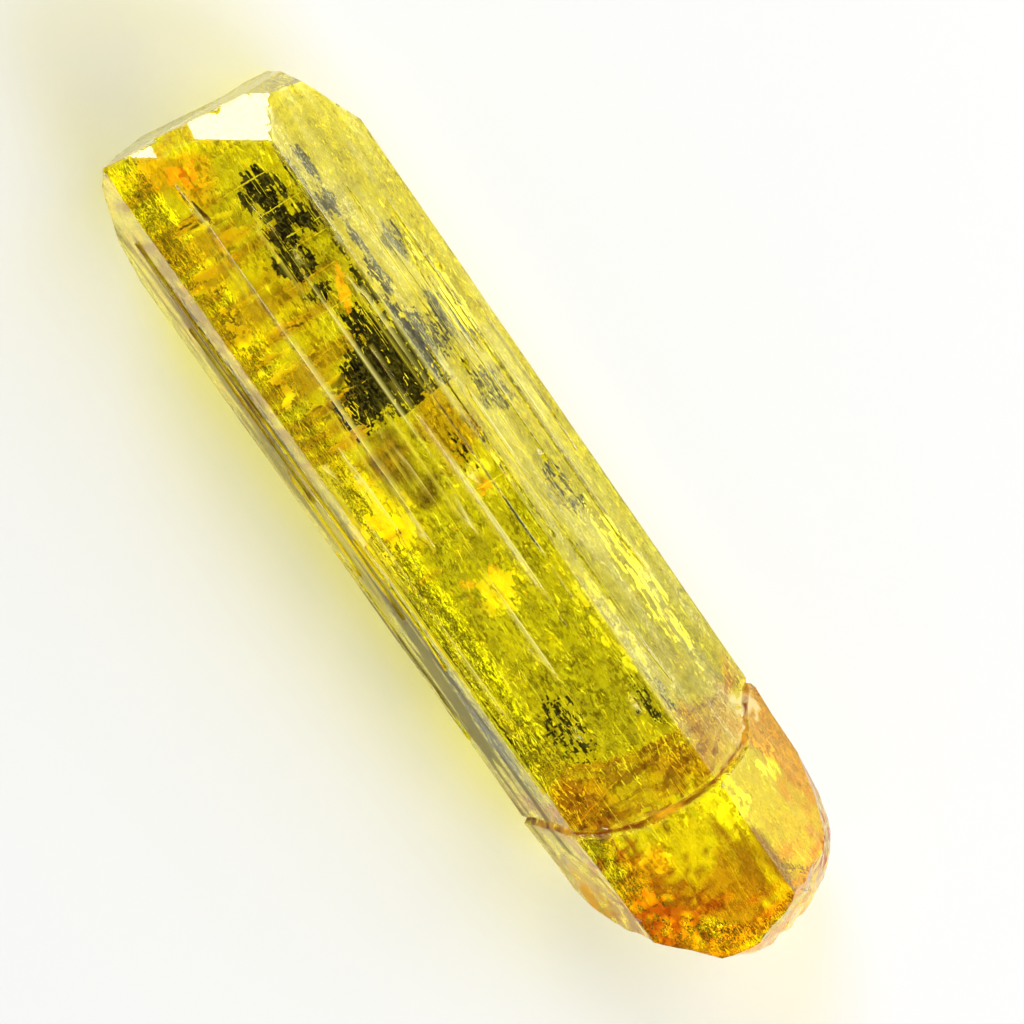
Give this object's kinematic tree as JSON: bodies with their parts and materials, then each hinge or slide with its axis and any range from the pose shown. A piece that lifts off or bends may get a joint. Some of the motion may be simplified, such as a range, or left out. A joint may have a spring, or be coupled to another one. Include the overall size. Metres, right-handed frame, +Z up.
{
  "type": "heliodor crystal",
  "caption": "Long clear golden yellow beryl crystal: a hexagonal prism with a faceted grown end, a healed crack and a stained broken end, lying on a prism face.",
  "frame": {"origin": "centre of the crystal's bounding box in X and Y, on its flat underside", "axes": "+X along the crystal towards its grown end, +Y towards its left flank when looking along +X, +Z up from the prism face it lies on"},
  "size_m": [0.0426, 0.0114, 0.0089],
  "materials": {
    "heliodor": "clear golden yellow, glassy, with frosted and iron-stained places"
  },
  "bodies": {
    "root": {"heliodor_crystal": "heliodor"}
  },
  "joints": []
}
